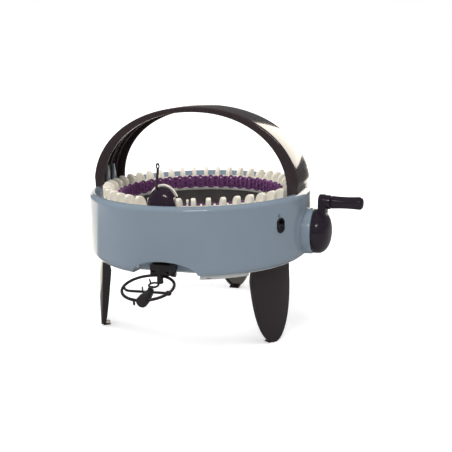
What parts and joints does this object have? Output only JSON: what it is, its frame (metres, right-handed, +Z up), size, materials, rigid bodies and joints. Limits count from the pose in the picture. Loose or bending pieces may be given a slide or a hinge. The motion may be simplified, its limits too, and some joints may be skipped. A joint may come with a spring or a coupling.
{
  "type": "circular knitting machine",
  "caption": "Hand-cranked circular knitting mill: turning needle drum with a crown of fins in a round body, arched carrying handle, yarn feeder, hinged yarn tensioner and three folding legs.",
  "frame": {"origin": "on the needle drum's axis, at the lower mouth of the throat that the knitted tube leaves through", "axes": "+Z up along the drum's axis, +X along the crank shaft towards the crank, -Y towards the yarn feeder and tensioner at the front; the floor is at z = -88 mm"},
  "size_m": [0.3336, 0.3177, 0.263],
  "materials": {
    "shell_blue": "glossy moulded blue-grey",
    "pan_grey": "satin light grey",
    "skirt_dark": "fine matt dark grey",
    "drum_white": "satin white nylon",
    "crown_white": "soft gloss ivory white",
    "needle_white": "smooth white",
    "yarn_purple": "knitted wool-like yarn",
    "steel": "plain steel",
    "bearing_grey": "self-lubricating plastic",
    "gear_grey": "satin nylon",
    "crank_plum": "very dark plum gloss",
    "handle_plum": "very dark plum gloss",
    "feeder_plum": "very dark plum gloss",
    "tension_black": "satin near-black",
    "selector_black": "satin near-black",
    "leg_black": "satin near-black"
  },
  "bodies": {
    "base": {"body_shell": "shell_blue", "lower_pan": "pan_grey", "inner_skirt": "skirt_dark", "cam_ring": "drum_white", "cam_screws": "steel", "pan_screws": "steel", "shaft_bush": "bearing_grey", "shaft_bush_inner": "bearing_grey", "handle": "handle_plum", "handle_screws": "steel", "feeder_dome": "feeder_plum", "feeder_guard": "crown_white", "feeder_screws": "steel", "yarn_rod": "feeder_plum", "tensioner_bracket": "tension_black", "tensioner_pin": "steel", "tension_plug": "tension_black", "selector_bezel": "selector_black", "leg_pin_back": "steel", "leg_pin_front_left": "steel", "leg_pin_front_right": "steel"},
    "drum": {"needle_cylinder": "drum_white", "needle_crown": "crown_white", "ring_gear": "drum_white", "needles": "needle_white", "knitted_band": "yarn_purple"},
    "lift_needle_a": {"needle_a": "needle_white"},
    "lift_needle_b": {"needle_b": "needle_white"},
    "lift_needle_c": {"needle_c": "needle_white"},
    "crank": {"crank_shaft": "steel", "pinion": "gear_grey", "crank_arm": "crank_plum", "crank_hub": "crank_plum", "crank_screw": "steel", "grip_pin": "steel"},
    "grip": {"crank_grip": "crank_plum"},
    "tension_loop": {"tensioner_ring": "tension_black", "tension_axle": "steel", "tension_eyelet": "tension_black"},
    "sleeve": {"tension_sleeve": "tension_black"},
    "selector": {"selector_slide": "selector_black"},
    "foot_back": {"leg_back": "leg_black"},
    "foot_front_left": {"leg_front_left": "leg_black"},
    "foot_front_right": {"leg_front_right": "leg_black"}
  },
  "joints": [
    {"name": "cylinder_spin", "type": "hinge", "parent": "base", "child": "drum", "pos_m": [0, 0, 0], "axis": [0, 0, 1], "continuous": true},
    {"name": "crank_spin", "type": "hinge", "parent": "base", "child": "crank", "pos_m": [0, 0, 0.03], "axis": [1, 0, 0], "continuous": true},
    {"name": "grip_spin", "type": "hinge", "parent": "crank", "child": "grip", "pos_m": [0.18, 0, 0.065], "axis": [1, 0, 0], "continuous": true},
    {"name": "needle_a_lift", "type": "slide", "parent": "drum", "child": "lift_needle_a", "axis": [0, 0, 1], "range_m": [-0.0055, 0.002]},
    {"name": "needle_b_lift", "type": "slide", "parent": "drum", "child": "lift_needle_b", "axis": [0, 0, 1], "range_m": [-0.0075, 0]},
    {"name": "needle_c_lift", "type": "slide", "parent": "drum", "child": "lift_needle_c", "axis": [0, 0, 1], "range_m": [-0.0055, 0.002]},
    {"name": "tension_swing", "type": "hinge", "parent": "base", "child": "tension_loop", "pos_m": [0.0016, -0.11666, -0.00012], "axis": [1, 0, 0], "range_deg": [-10, 65]},
    {"name": "sleeve_turn", "type": "hinge", "parent": "tension_loop", "child": "sleeve", "pos_m": [0.0014, -0.16089, -0.00895], "axis": [0, -0.9806, -0.1959], "continuous": true},
    {"name": "selector_travel", "type": "slide", "parent": "base", "child": "selector", "axis": [0, 0, 1], "range_m": [0, 0.005]},
    {"name": "leg_fold_back", "type": "hinge", "parent": "base", "child": "foot_back", "pos_m": [0, 0.115, -0.0045], "axis": [-1, 0, 0], "range_deg": [0, 90]},
    {"name": "leg_fold_front_left", "type": "hinge", "parent": "base", "child": "foot_front_left", "pos_m": [-0.09959, -0.0575, -0.0045], "axis": [0.5, -0.866, 0], "range_deg": [0, 90]},
    {"name": "leg_fold_front_right", "type": "hinge", "parent": "base", "child": "foot_front_right", "pos_m": [0.09959, -0.0575, -0.0045], "axis": [0.5, 0.866, 0], "range_deg": [0, 90]}
  ],
  "couplings": [
    {"joint": "crank_spin", "follows": "cylinder_spin", "ratio": -7.3333}
  ]
}
